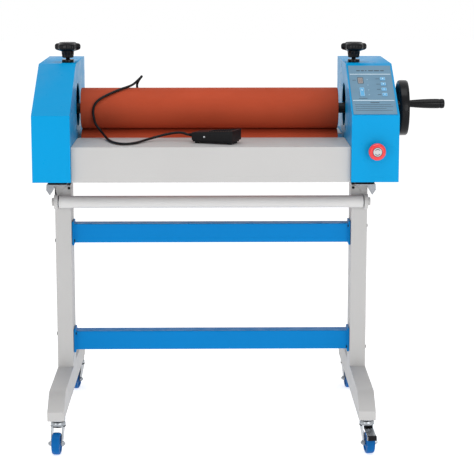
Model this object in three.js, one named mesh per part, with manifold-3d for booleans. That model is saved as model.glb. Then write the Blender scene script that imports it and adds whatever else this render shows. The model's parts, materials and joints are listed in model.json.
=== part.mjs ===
// Cold roll laminator on a wheeled stand: two silicone rollers between sheet-metal casings, a pair of
// flat beds, two pressure knobs, a handwheel, an electric drive and a foot pedal. Millimetres, +Z up.
// X runs along the rollers, Y from front to back. Lengths below are in the machine's own frame, whose
// zero is midway between the casings, on the roller axes, at the floor; the last lines centre it.
import * as THREE from "three";
import { mergeVertices } from "three/addons/utils/BufferGeometryUtils.js";
import Module from "manifold-3d";

const wasm = await Module();
wasm.setup();

// ---------------------------------------------------------------- driving dimensions
const GAP = 0.3;                       // between pieces that touch
const SHEET = 2;                       // sheet metal of the casings and beds
const ROLLER_RADIUS = 50;
const COVERING = { left: -317, right: 310 };   // ends of the silicone on both rollers
const UPPER_AXIS_Z = 785;
const LOWER_AXIS_Z = UPPER_AXIS_Z - 2 * ROLLER_RADIUS - GAP;
const JOURNAL_RADIUS = 12.5;
const JOURNAL_BORE = 12.9;
const LIFT = 20;                       // how far the upper roller rises

const CASING = { inner: 326, outerLeft: 415, outerRight: 436.5, front: -249, back: 222,
  bottom: 636, bend: 791.5, topFront: -51, top: 897 };
const BED = { top: 717, bottom: 634, front: -235, back: 208, nearRoller: 43 };
const COLUMN = { inner: 346, outer: 385, front: -25, back: 55, top: 598 };
const FOOT = { bottom: 81, top: 138, front: -314, back: 336, chamferRun: 58, noseTop: 102.5 };
const TUBE_WALL = 2;
const PLATE_TOP = 601.5;               // top of the plate that closes each column

const KNOB_X = 349;                    // pressure screws, in the middle of the side frames
const FRAME_X = [344, 352];
const BLOCK_X = [338, 362];
const WHEEL_RADIUS = 26;
const CASTER_X = { left: -362.5, right: 367 };
const CASTER_TRAIL = 25;
const CORD_RADIUS = 3;
const ROUND = 24;                      // sides of an ordinary turned piece
const FINE = 48;                       // sides of a roller

// ---------------------------------------------------------------- materials
const paint = (color, roughness, metalness = 0) =>
  new THREE.MeshStandardMaterial({ color, roughness, metalness });
const BLUE = paint(0x0a9be4, 0.35);
const DEEP_BLUE = paint(0x0a82cf, 0.35);
const GREY = paint(0xc6c7c8, 0.5);
const STEEL = paint(0x9a9da1, 0.35, 1);
const ZINC = paint(0xb9bec4, 0.3, 1);
const SILICONE = paint(0xb9502f, 0.6);
const BLACK = paint(0x1d1d20, 0.45);
const RUBBER = paint(0x17171a, 0.8);
const RED = paint(0xe2332e, 0.35);
const WHEEL_BLUE = paint(0x0c5fae, 0.5);
const PANEL = paint(0x7f9cb8, 0.4);
const KEY_BLUE = paint(0x2f7fc8, 0.45);

// ---------------------------------------------------------------- solids and booleans
function toSolid(geometry) {
  const bare = geometry.clone();
  for (const name of Object.keys(bare.attributes)) if (name !== "position") bare.deleteAttribute(name);
  const merged = mergeVertices(bare, 1e-4);
  return new wasm.Manifold(new wasm.Mesh({
    numProp: 3,
    vertProperties: new Float32Array(merged.attributes.position.array),
    triVerts: new Uint32Array(merged.index.array),
  }));
}

function toGeometry(solid) {
  const mesh = solid.getMesh();
  const geometry = new THREE.BufferGeometry();
  geometry.setAttribute("position", new THREE.BufferAttribute(new Float32Array(mesh.vertProperties), 3));
  geometry.setIndex(new THREE.BufferAttribute(new Uint32Array(mesh.triVerts), 1));
  geometry.computeVertexNormals();
  return geometry;
}

const join = (...pieces) => toGeometry(pieces.map(toSolid).reduce((a, b) => a.add(b)));
const cut = (body, ...tools) => toGeometry(tools.map(toSolid).reduce((a, b) => a.subtract(b), toSolid(body)));

// A block between two corners.
function block(x0, x1, y0, y1, z0, z1) {
  return new THREE.BoxGeometry(x1 - x0, y1 - y0, z1 - z0)
    .translate((x0 + x1) / 2, (y0 + y1) / 2, (z0 + z1) / 2);
}

// A [y, z] outline carried along X from x0 to x1.
function alongX(outline, x0, x1) {
  const shape = new THREE.Shape(outline.map(([y, z]) => new THREE.Vector2(y, z)));
  const geometry = new THREE.ExtrudeGeometry(shape, { depth: x1 - x0, bevelEnabled: false });
  const axes = new THREE.Matrix4().makeBasis(
    new THREE.Vector3(0, 1, 0), new THREE.Vector3(0, 0, 1), new THREE.Vector3(1, 0, 0));
  return geometry.applyMatrix4(axes).translate(x0, 0, 0);
}

// An [x, z] outline carried along Y from y0 to y1.
function alongY(outline, y0, y1) {
  const shape = new THREE.Shape(outline.map(([x, z]) => new THREE.Vector2(x, z)));
  const geometry = new THREE.ExtrudeGeometry(shape, { depth: y1 - y0, bevelEnabled: false });
  return geometry.rotateX(Math.PI / 2).translate(0, y1, 0);
}

// An [x, y] outline carried along Z from z0 to z1.
function alongZ(outline, z0, z1) {
  const shape = new THREE.Shape(outline.map(([x, y]) => new THREE.Vector2(x, y)));
  return new THREE.ExtrudeGeometry(shape, { depth: z1 - z0, bevelEnabled: false }).translate(0, 0, z0);
}

// A turned piece about the Z axis; the profile is [radius, height] points that close on themselves.
function turned(profile, sides = ROUND) {
  const points = profile.map(([r, h]) => new THREE.Vector2(r, h));
  const closed = points[0].x < 1e-6 && points[points.length - 1].x < 1e-6 ? points : [...points, points[0]];
  const geometry = new THREE.LatheGeometry(closed, sides);
  return geometry.rotateX(Math.PI / 2);
}

// The same, about an axis along X (the profile's heights become X) or along Y.
const turnedX = (profile, sides) => turned(profile, sides).rotateY(Math.PI / 2);
const turnedY = (profile, sides) => turned(profile, sides).rotateX(-Math.PI / 2);

// A rod about Z, X or Y between two heights, and a round hole's cutter.
const rod = (radius, h0, h1, sides = ROUND) => turned([[0, h0], [radius, h0], [radius, h1], [0, h1]], sides);
const rodX = (radius, x0, x1, sides = ROUND) => rod(radius, x0, x1, sides).rotateY(Math.PI / 2);
const rodY = (radius, y0, y1, sides = ROUND) => rod(radius, y0, y1, sides).rotateX(-Math.PI / 2);
const ring = (inner, outer, h0, h1) => [[inner, h0], [outer, h0], [outer, h1], [inner, h1]];

// ---------------------------------------------------------------- the assembly
const laminator = new THREE.Group();

function add(name, geometry, material, parent = laminator) {
  const mesh = new THREE.Mesh(geometry, material);
  mesh.name = name;
  parent.add(mesh);
  return mesh;
}

const SIDES = [["left", -1], ["right", 1]];
const byX = (side, a, b) => (side < 0 ? [-b, -a] : [a, b]);

// ---------------------------------------------------------------- stand
const MEDIA_BAR = { y: -46, z: 559.5, radius: 15, half: 372.5, journal: 6, lug: 18 };

// One leg: a column on a long foot, one hollow welded box, open at the column's top, with the lug of
// the media bar, its bracket plate and the seats of two casters.
function leg(side) {
  const { front, back, top } = COLUMN;
  const profile = (inset, lid) => [
    [FOOT.front + inset, FOOT.bottom + inset], [FOOT.back - inset, FOOT.bottom + inset],
    [FOOT.back - inset, FOOT.noseTop - inset / 2], [FOOT.back - FOOT.chamferRun - inset / 2, FOOT.top - inset],
    [back - inset, FOOT.top - inset], [back - inset, lid], [front + inset, lid],
    [front + inset, FOOT.top - inset], [FOOT.front + FOOT.chamferRun + inset / 2, FOOT.top - inset],
    [FOOT.front + inset, FOOT.noseTop - inset / 2]];
  const [x0, x1] = byX(side, COLUMN.inner, COLUMN.outer);
  const shell = cut(alongX(profile(0, top), x0, x1),
    alongX(profile(TUBE_WALL, top + 10), x0 + TUBE_WALL, x1 - TUBE_WALL));
  const [l0, l1] = byX(side, MEDIA_BAR.half + 2.5, MEDIA_BAR.half + 11.5);
  const lug = rodX(MEDIA_BAR.lug, l0, l1).translate(0, MEDIA_BAR.y, MEDIA_BAR.z);
  const neck = block(l0, l1, MEDIA_BAR.y, front + 1, MEDIA_BAR.z - 12, MEDIA_BAR.z + 12);
  const plate = [[344, 549], [371, 549], [371, 570], [367, 584], [358, 594], [344, 597.5]];
  const bracket = alongY((side < 0 ? plate.map(([x, z]) => [-x, z]).reverse() : plate), front - 3, front + 1);
  const seats = [SWIVEL_Y.front, SWIVEL_Y.back].map((y) =>
    rod(16, FOOT.bottom - 5.7, FOOT.bottom + 1).translate(side < 0 ? CASTER_X.left : CASTER_X.right, y, 0));
  const boss = rodX(10, ...byX(side, MEDIA_BAR.half + 10.5, MEDIA_BAR.half + 17.5))
    .translate(0, MEDIA_BAR.y, MEDIA_BAR.z);
  const bore = rodX(MEDIA_BAR.journal + 0.4, l0 - 5, l1 + 5).translate(0, MEDIA_BAR.y, MEDIA_BAR.z);
  return cut(join(shell, lug, boss, neck, bracket, ...seats), bore);
}

const SWIVEL_Y = { front: -283, back: 305 };
for (const [name, side] of SIDES) add(`leg_${name}`, leg(side), GREY);

// Crossbars: a rectangular tube with a taller end flange each side, bolted to the columns.
const BAR = { y: 15, half: 20, flange: 25, flangeThick: 5 };
const CROSSBARS = { upper: [450.5, 497.5], lower: [177.5, 224.5] };
function crossbar([z0, z1]) {
  const end = COLUMN.inner - GAP;
  const tube = block(-end + 1, end - 1, -BAR.half, BAR.half, z0, z1);
  const bore = block(-end - 20, end + 20, -BAR.half + TUBE_WALL, BAR.half - TUBE_WALL,
    z0 + TUBE_WALL, z1 - TUBE_WALL);
  const mid = (z0 + z1) / 2;
  const flanges = SIDES.map(([, side]) => {
    const [a, b] = byX(side, end - BAR.flangeThick, end);
    return block(a, b, -BAR.flange, BAR.flange, mid - 30, mid + 30);
  });
  return cut(join(tube, ...flanges), bore).translate(0, BAR.y, 0);
}
for (const [name, span] of Object.entries(CROSSBARS)) add(`crossbar_${name}`, crossbar(span), DEEP_BLUE);

// Plate on each column's top, with two pointed ears folded down outside the column.
function standPlate(side) {
  const [x0, x1] = byX(side, 353.8, 403);
  const top = block(x0, x1, -45, 75, COLUMN.top + GAP, PLATE_TOP);
  const ear = [[385.4, 600.5], [403, 600.5], [404, 588], [395, 575], [385.4, 590]];
  const outline = side < 0 ? ear.map(([x, z]) => [-x, z]) : [...ear].reverse();
  return join(top, alongY(outline, -45, -42), alongY(outline, 72, 75));
}
for (const [name, side] of SIDES) {
  add(`stand_plate_${name}`, standPlate(side), STEEL);
  const [x0, x1] = byX(side, 355, 400);
  add(`rubber_pad_${name}`, block(x0, x1, -40, 70, PLATE_TOP + GAP, CASING.bottom), RUBBER);
}

// Media bar: a tube with plugged ends that turns on its journals in the legs' lugs.
const { half: barHalf, radius: barRadius, journal: barJournal } = MEDIA_BAR;
const journalEnd = barHalf + 11;
const barProfile = [[2, -journalEnd], [barJournal, -journalEnd], [barJournal, -barHalf],
  [barRadius, -barHalf], [barRadius, barHalf], [barJournal, barHalf], [barJournal, journalEnd],
  [2, journalEnd], [2, barHalf - 4], [barRadius - 1.5, barHalf - 4], [barRadius - 1.5, -barHalf + 4],
  [2, -barHalf + 4]];
add("media_bar", turnedX(barProfile, ROUND).translate(0, MEDIA_BAR.y, MEDIA_BAR.z), GREY);

// ---------------------------------------------------------------- casters
// Built about the swivel axis with the wheel trailing towards +Y, then turned and placed.
const WHEEL_HALF = 10;
const AXLE_RADIUS = 3;
function casterFork() {
  const cheek = [[-15, 58], [-12, 66], [15, 66], [20, 52], [31, 30], [30, 21], [22, 18], [17, 24], [-8, 52]];
  const cheeks = [-1, 1].map((s) => alongX(cheek, ...byX(s, 11.5, 14)));
  const crown = block(-14, 14, -15, 15, 62, 66);
  const housing = turned([[0, 64], [17, 64], [17, 70], [13, 73], [0, 73]]);
  const pin = rod(6, 70, FOOT.bottom - 6);
  const axle = rodX(AXLE_RADIUS, -16, 16, 16).translate(0, CASTER_TRAIL, WHEEL_RADIUS);
  const ends = [-1, 1].map((s) => rodX(5, ...byX(s, 13, 17.5), 6).translate(0, CASTER_TRAIL, WHEEL_RADIUS));
  return join(...cheeks, crown, housing, pin, axle, ...ends);
}

function casterWheel() {
  const w = WHEEL_HALF;
  const bore = AXLE_RADIUS + 0.4;
  const profile = [[bore, -w], [8, -w], [9, -w + 3], [19, -w + 3], [20, -w + 0.5], [24, -w + 0.5],
    [WHEEL_RADIUS, -w + 4], [WHEEL_RADIUS, w - 4], [24, w - 0.5], [20, w - 0.5], [19, w - 3], [9, w - 3],
    [8, w], [bore, w]];
  return turnedX(profile, ROUND).translate(0, CASTER_TRAIL, WHEEL_RADIUS);
}

// Brake lever: a plate between the fork's cheeks that ends in a tread pad behind the wheel.
function brakeLever() {
  const plate = [[8, 59.5], [8, 61.5], [51, 49.5], [51, 47.5]];
  const pad = [[50, 38], [50, 49.5], [58.4, 48], [58.4, 40]];
  return join(alongX(plate, -10.5, 10.5), alongX(pad, -11, 11));
}

const CASTERS = [
  { name: "front_left", x: CASTER_X.left, y: SWIVEL_Y.front, heading: 176, brake: false },
  { name: "front_right", x: CASTER_X.right, y: SWIVEL_Y.front, heading: 188, brake: true },
  { name: "rear_left", x: CASTER_X.left, y: SWIVEL_Y.back, heading: 168, brake: true },
  { name: "rear_right", x: CASTER_X.right, y: SWIVEL_Y.back, heading: 186, brake: false },
];
for (const caster of CASTERS) {
  const turn = new THREE.Group();
  turn.position.set(caster.x, caster.y, 0);
  turn.rotation.z = THREE.MathUtils.degToRad(caster.heading);
  laminator.add(turn);
  add(`caster_fork_${caster.name}`, casterFork(), ZINC, turn);
  add(`caster_wheel_${caster.name}`, casterWheel(), WHEEL_BLUE, turn);
  if (caster.brake) add(`brake_lever_${caster.name}`, brakeLever(), ZINC, turn);
}

// ---------------------------------------------------------------- casings
const RAKE = Math.atan2(CASING.top - CASING.bend, CASING.topFront - CASING.front);
const HOLE = { radius: 54, z: 793 };   // round opening in the inner wall, above the roller's axis
const ESTOP = { x: 383.6, z: 709.8 };
const INLET = { x: 400, z: 680, halfX: 24, halfZ: 14 };
const SOCKET = { x: 352, z: 680, radius: 8 };

function casing(side) {
  const { front, back, bottom, bend, topFront, top } = CASING;
  const outer = side < 0 ? CASING.outerLeft : CASING.outerRight;
  const [x0, x1] = byX(side, CASING.inner, outer);
  const slantInset = SHEET / Math.tan((Math.PI / 2 + RAKE) / 2 + Math.PI / 4) + 0.4;
  const body = alongX([[front, bottom], [back, bottom], [back, top], [topFront, top], [front, bend]], x0, x1);
  const hollow = alongX([[front + SHEET, bottom - 10], [back - SHEET, bottom - 10], [back - SHEET, top - SHEET],
    [topFront + slantInset, top - SHEET], [front + SHEET, bend - SHEET / 2]], x0 + SHEET, x1 - SHEET);
  const [w0, w1] = byX(side, CASING.inner - 5, CASING.inner + 10);
  const tools = [hollow,
    rodX(HOLE.radius, w0, w1, FINE).translate(0, 0, HOLE.z),
    rodX(30, w0, w1).translate(0, 0, LOWER_AXIS_Z),
    rod(7, top - 10, top + 10).translate(side * KNOB_X, 0, 0)];
  if (side > 0) {
    const slot = (z) => rodX(12, outer - 8, outer + 8).translate(0, 0, z);
    tools.push(slot(UPPER_AXIS_Z), slot(UPPER_AXIS_Z + LIFT),
      block(outer - 8, outer + 8, -12, 12, UPPER_AXIS_Z, UPPER_AXIS_Z + LIFT),
      rodY(11, front - 5, front + 8).translate(ESTOP.x, 0, ESTOP.z),
      rodY(SOCKET.radius + GAP, back - 8, back + 8).translate(SOCKET.x, 0, SOCKET.z),
      block(INLET.x - INLET.halfX - GAP, INLET.x + INLET.halfX + GAP, back - 8, back + 8,
        INLET.z - INLET.halfZ - GAP, INLET.z + INLET.halfZ + GAP));
  }
  return cut(body, ...tools);
}
for (const [name, side] of SIDES) add(`casing_${name}`, casing(side), BLUE);

// Side frames: the steel plates that carry the rollers, with a base that closes the casing's bottom.
const SLOT = { half: 30.5, z0: 748, z1: 843 };
function sideFrame(side) {
  const [x0, x1] = byX(side, ...FRAME_X);
  const outer = side < 0 ? CASING.outerLeft : CASING.outerRight;
  const [b0, b1] = byX(side, CASING.inner + SHEET + GAP, outer - SHEET - GAP);
  const [h0, h1] = byX(side, ...BLOCK_X);
  const plate = block(x0, x1, -90, 90, CASING.bottom + 1, 849);
  const base = block(b0, b1, CASING.front + SHEET + GAP, CASING.back - SHEET - GAP,
    CASING.bottom + GAP, CASING.bottom + 4);
  const bridge = block(h0, h1, -30, 30, 847, 887);
  return cut(join(plate, base, bridge),
    block(x0 - 5, x1 + 5, -SLOT.half, SLOT.half, SLOT.z0, SLOT.z1),
    rodX(26.3, x0 - 5, x1 + 5).translate(0, 0, LOWER_AXIS_Z),
    rod(7, 830, 900).translate(side * KNOB_X, 0, 0));
}
for (const [name, side] of SIDES) add(`side_frame_${name}`, sideFrame(side), STEEL);

// Beds: folded sheet, a flat top with a front (or back) skirt and a small return at its foot.
function bed(near, far) {
  const s = Math.sign(far);
  const half = CASING.inner - GAP;
  const outline = [[near, BED.top - SHEET], [near, BED.top], [far, BED.top], [far, BED.bottom],
    [far - s * 25, BED.bottom], [far - s * 25, BED.bottom + SHEET], [far - s * SHEET, BED.bottom + SHEET],
    [far - s * SHEET, BED.top - SHEET]];
  return alongX(s < 0 ? outline : outline.reverse(), -half, half);
}
add("front_bed", bed(-BED.nearRoller, BED.front), GREY);
add("rear_bed", bed(BED.nearRoller, BED.back), GREY);

// ---------------------------------------------------------------- rollers
const CORE_RADIUS = 42;
// A steel tube with end discs and two journals; the bore through the axis is a small vent.
function rollerCore(leftEnd, rightSteps) {
  const { left, right } = COVERING;
  const vent = 2.5;
  const steps = rightSteps.flatMap(([radius, x], i) =>
    [[radius, i === 0 ? right : rightSteps[i - 1][1]], [radius, x]]);
  const end = rightSteps[rightSteps.length - 1][1];
  return [[vent, leftEnd], [JOURNAL_RADIUS, leftEnd], [JOURNAL_RADIUS, left], [CORE_RADIUS, left],
    [CORE_RADIUS, right], ...steps, [vent, end], [vent, right - 8], [CORE_RADIUS - 5, right - 8],
    [CORE_RADIUS - 5, left + 8], [vent, left + 8]];
}
const HUB = { shaft: 8, from: 366, end: 468 };
const upperCore = rollerCore(-BLOCK_X[1] - 4, [[JOURNAL_RADIUS, HUB.from], [HUB.shaft, HUB.end]]);
const lowerCore = rollerCore(-BLOCK_X[1] - 4, [[JOURNAL_RADIUS, 390]]);
const sleeve = ring(CORE_RADIUS + GAP, ROLLER_RADIUS, COVERING.left, COVERING.right);
for (const [name, core, z] of [["top", upperCore, UPPER_AXIS_Z], ["lower", lowerCore, LOWER_AXIS_Z]]) {
  add(`${name}_roller_core`, turnedX(core, FINE).translate(0, 0, z), STEEL);
  add(`${name}_roller_sleeve`, turnedX(sleeve, FINE).translate(0, 0, z), SILICONE);
}

// Upper bearing blocks slide in the side frames' slots; the lower bearings are pressed in.
const BEARING_BLOCK = { below: 34, above: 34 };
for (const [name, side] of SIDES) {
  const [x0, x1] = byX(side, ...BLOCK_X);
  const upper = cut(block(x0, x1, -30, 30, UPPER_AXIS_Z - BEARING_BLOCK.below, UPPER_AXIS_Z + BEARING_BLOCK.above),
    rodX(JOURNAL_BORE, x0 - 5, x1 + 5).translate(0, 0, UPPER_AXIS_Z));
  add(`top_bearing_block_${name}`, upper, STEEL);
  const flanged = [[JOURNAL_BORE, 342], [26, 342], [26, 352.3], [33, 352.3], [33, 358], [JOURNAL_BORE, 358]];
  const facing = side < 0 ? flanged.map(([r, x]) => [r, -x]).reverse() : flanged;
  add(`lower_bearing_${name}`, turnedX(facing).translate(0, 0, LOWER_AXIS_Z), STEEL);
}

// ---------------------------------------------------------------- pressure knobs
const KNOB = { radius: 31, lobes: 6, z0: 928, z1: 946 };
function knobOutline() {
  const points = [];
  const steps = 6;
  for (let i = 0; i < KNOB.lobes * steps; i++) {
    const angle = (i / (KNOB.lobes * steps)) * 2 * Math.PI;
    const radius = KNOB.radius - 3.2 + 3.2 * Math.cos(angle * KNOB.lobes);
    points.push([radius * Math.cos(angle), radius * Math.sin(angle)]);
  }
  return points;
}
function pressureKnob() {
  const stem = turned([[0, UPPER_AXIS_Z + BEARING_BLOCK.above + GAP],
    [5.5, UPPER_AXIS_Z + BEARING_BLOCK.above + GAP], [5.5, 910], [12, 910], [12, 922], [15, 922], [15, 930],
    [0, 930]]);
  const cap = turned([[0, 940], [24, 940], [22, 947], [0, 948]]);
  return join(stem, alongZ(knobOutline(), KNOB.z0, KNOB.z1), cap);
}
for (const [name, side] of SIDES) {
  add(`pressure_knob_${name}`, pressureKnob().translate(side * KNOB_X, 0, 0), BLACK);
  add(`screw_collar_${name}`, turned(ring(6.5, 14.7, CASING.top + GAP, CASING.top + 7.5))
    .translate(side * KNOB_X, 0, 0), BLACK);
}

// ---------------------------------------------------------------- drive
const MODULE = 2.5;
const GEAR_X = [371, 383];
const TEETH = { roller: 28, pinion: 20 };
const GEAR_DISTANCE = (MODULE * (TEETH.roller + TEETH.pinion)) / 2 + 0.4;
const PINION_BEARING = Math.atan2(36, 48);      // direction from the roller gear to the pinion
const PINION = { y: GEAR_DISTANCE * Math.cos(PINION_BEARING),
  z: LOWER_AXIS_Z + GEAR_DISTANCE * Math.sin(PINION_BEARING) };

// Straight-flanked teeth; a tooth is centred on the angle given.
function gearOutline(teeth, firstTooth) {
  const tip = (MODULE * (teeth + 1.8)) / 2;
  const root = (MODULE * (teeth - 2.5)) / 2;
  const pitch = (2 * Math.PI) / teeth;
  const points = [];
  for (let i = 0; i < teeth; i++) {
    const middle = firstTooth + i * pitch;
    for (const [radius, offset] of [[root, -0.3], [tip, -0.115], [tip, 0.115], [root, 0.3]]) {
      const angle = middle + offset * pitch;
      points.push([radius * Math.cos(angle), radius * Math.sin(angle)]);
    }
  }
  return points;
}
const rollerGear = cut(alongX(gearOutline(TEETH.roller, PINION_BEARING), ...GEAR_X),
  rodX(JOURNAL_RADIUS + 0.4, GEAR_X[0] - 5, GEAR_X[1] + 5));
add("lower_roller_gear", rollerGear.translate(0, 0, LOWER_AXIS_Z), STEEL);
const pinionGear = join(
  alongX(gearOutline(TEETH.pinion, PINION_BEARING + Math.PI + Math.PI / TEETH.pinion), ...GEAR_X),
  rodX(5, GEAR_X[1] - 1, GEAR_X[1] + 18));
add("motor_pinion", pinionGear.translate(0, PINION.y, PINION.z), STEEL);

// Gearmotor: gearbox, barrel and a foot that stands on the side frame's base.
const gearbox = cut(
  join(block(388, 430, 18, 78, 694, 750), rodY(24, 76, 190).translate(409, 0, 722),
    block(394, 426, 24, 72, CASING.bottom + 4 + GAP, 696)),
  rodX(5.4, 380, 410).translate(0, PINION.y, PINION.z));
add("gearmotor", gearbox, BLACK);

// Control unit: circuit board on a tray with its transformer and relays.
add("control_unit", join(block(362, 428, -170, -70, CASING.bottom + 4 + GAP, 644), block(368, 408, -120, -80, 642, 676),
  block(368, 384, -160, -134, 642, 660), block(392, 422, -160, -134, 642, 654)), BLACK);

// ---------------------------------------------------------------- handwheel
const HANDWHEEL = { radius: 68, x0: 457.5, x1: 482, crank: 46.5, crankAngle: 0.12 };
const crankPoint = [HANDWHEEL.crank * Math.cos(HANDWHEEL.crankAngle),
  HANDWHEEL.crank * Math.sin(HANDWHEEL.crankAngle)];
function handwheel() {
  const { radius, x0, x1 } = HANDWHEEL;
  const rim = turnedX([[54, x0 + 2], [64, x0], [radius, x0 + 3], [radius, x1 - 4], [64, x1], [54, x1 - 2]], 36);
  const web = turnedX([[0, 468.3], [56, x0 + 6], [56, x1 - 6], [0, 476]], 36);
  const hub = turnedX([[0, 452], [16, 452], [18, 470], [16, 480], [0, 480]]);
  const pin = rodX(4, x1 - 8, x1 + 94, 12).translate(0, ...crankPoint);
  const boss = rodX(9, x0 + 4, x1).translate(0, ...crankPoint);
  return cut(join(rim, web, hub, boss, pin), rodX(HUB.shaft + 0.4, 440, HUB.end + GAP));
}
add("handwheel", handwheel().translate(0, 0, UPPER_AXIS_Z), BLACK);
const gripProfile = [[4.4, 483], [8, 483], [9, 490], [11.4, 530], [12, 560], [11.6, 570], [12, 575],
  [11, 579], [4.4, 580]];
add("handle_grip", turnedX(gripProfile).translate(0, crankPoint[0], UPPER_AXIS_Z + crankPoint[1]), BLACK);

// ---------------------------------------------------------------- control panel
// A group lying on the right casing's slanted face: local x along the machine, y up the slope.
const slope = new THREE.Group();
slope.position.set(0, CASING.front, CASING.bend);
slope.rotation.x = RAKE;
laminator.add(slope);
const KEYS = [
  { name: "key_run", x: 356.5, y: 97.5, w: 11.5, h: 36 },
  { name: "key_forward", x: 409, y: 154, w: 12.5, h: 12.5 },
  { name: "key_reverse", x: 409, y: 131, w: 12.5, h: 12.5 },
  { name: "key_faster", x: 409, y: 108.5, w: 12.5, h: 12.5 },
  { name: "key_slower", x: 409, y: 86, w: 12.5, h: 12.5 },
];
const panelCuts = KEYS.map(({ x, y, w, h }) =>
  block(x - w / 2 - GAP, x + w / 2 + GAP, y - h / 2 - GAP, y + h / 2 + GAP, -1, 3));
add("control_panel", cut(block(330, 431.5, 4, 213, GAP, 1.5), ...panelCuts), PANEL, slope);
for (const { name, x, y, w, h } of KEYS) {
  add(name, block(x - w / 2, x + w / 2, y - h / 2, y + h / 2, 0.9, 2.4), KEY_BLUE, slope);
}

// ---------------------------------------------------------------- emergency stop
// Turned about Y, pointing out of the front face.
const estop = new THREE.Group();
estop.position.set(ESTOP.x, CASING.front, ESTOP.z);
laminator.add(estop);
const bezel = turnedY([[6.4, -GAP], [16, -GAP], [15, -5], [6.4, -5]].reverse());
const barrel = turnedY(ring(6.4, 10.6, -1, 42));
const contacts = block(-15, 15, 34, 58, -15, 15);
add("estop_base", cut(join(bezel, barrel, contacts), rodY(6.4, -6, 34)), BLACK, estop);
add("estop_plunger", turnedY([[0, -12], [6, -12], [6, 28], [0, 28]]), STEEL, estop);
const mushroom = [[0, -30], [14, -29], [19, -26], [20, -22], [19, -18], [9, -16], [9, -12.5 + GAP], [0, -12.5 + GAP]];
add("estop_head", turnedY(mushroom.map(([r, y]) => [r, y - 0.2])), RED, estop);

// ---------------------------------------------------------------- connections at the back
const inletBody = join(block(INLET.x - 29, INLET.x + 29, CASING.back + GAP, CASING.back + 3, INLET.z - 18, INLET.z + 18),
  block(INLET.x - INLET.halfX, INLET.x + INLET.halfX, CASING.back - 24, CASING.back + 1,
    INLET.z - INLET.halfZ, INLET.z + INLET.halfZ));
const inletWell = block(INLET.x - 13, INLET.x + 13, CASING.back - 16, CASING.back + 6, INLET.z - 9, INLET.z + 9);
const inletPins = [-7, 0, 7].map((dx) =>
  block(INLET.x + dx - 1, INLET.x + dx + 1, CASING.back - 18, CASING.back - 2, INLET.z - 2, INLET.z + 2));
add("mains_inlet", join(cut(inletBody, inletWell), ...inletPins), BLACK);
const jack = turnedY([[3.4, 208], [SOCKET.radius, 208], [SOCKET.radius, 222.3], [11, 222.3], [11, 226], [3.4, 226]]);
add("pedal_socket", jack.translate(SOCKET.x, 0, SOCKET.z), BLACK);

// ---------------------------------------------------------------- foot pedal on the front bed
// Local frame: x from the cord's end towards the toe, y across, z up from the bed's top.
const PEDAL = { length: 106, width: 56, x: 11.8, y: -152.5, turn: -23, pinX: -19, pinZ: 16 };
const CORD_EXIT = { y: 10, z: 15.5 };    // where the lead leaves the pedal's end
const pedal = new THREE.Group();
pedal.position.set(PEDAL.x, PEDAL.y, BED.top);
pedal.rotation.z = THREE.MathUtils.degToRad(PEDAL.turn);
laminator.add(pedal);
const pinHole = (radius, half) => rodY(radius, -half, half, 12).translate(PEDAL.pinX, 0, PEDAL.pinZ);
function pedalBase() {
  const tray = alongY([[-50, 4], [49, 4], [49, 15], [-3, 15], [-9, 21], [-29, 21], [-50, 22.4]], -24.5, 24.5);
  const feet = [-42, 42].flatMap((x) => [-17, 17].map((y) => rod(5, GAP, 5, 12).translate(x, y, 0)));
  return cut(join(tray, ...feet, pinHole(2, PEDAL.width / 2)),
    rodX(5.4, -55, -40).translate(0, CORD_EXIT.y, CORD_EXIT.z));
}
add("pedal_base", pedalBase(), BLACK, pedal);
function pedalTreadle() {
  const side = (x0, x1, z0, top0, top1, w) =>
    alongY([[x0, z0], [x1, z0], [x1, top1], [x0, top0]], -w, w);
  const shell = side(-51, 53, 8, 26, 33, PEDAL.width / 2);
  const hollow = side(-52, 50.5, 0, 23.5, 30.5, PEDAL.width / 2 - 2.4);
  return cut(shell, hollow, pinHole(2.4, 40));
}
add("pedal_treadle", pedalTreadle(), BLACK, pedal);
const gland = [[3.3, -72], [3.9, -72], [5, -49.7], [5, -44], [3.3, -44]];
add("pedal_gland", turnedX(gland).translate(0, CORD_EXIT.y, CORD_EXIT.z), RUBBER, pedal);

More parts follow.
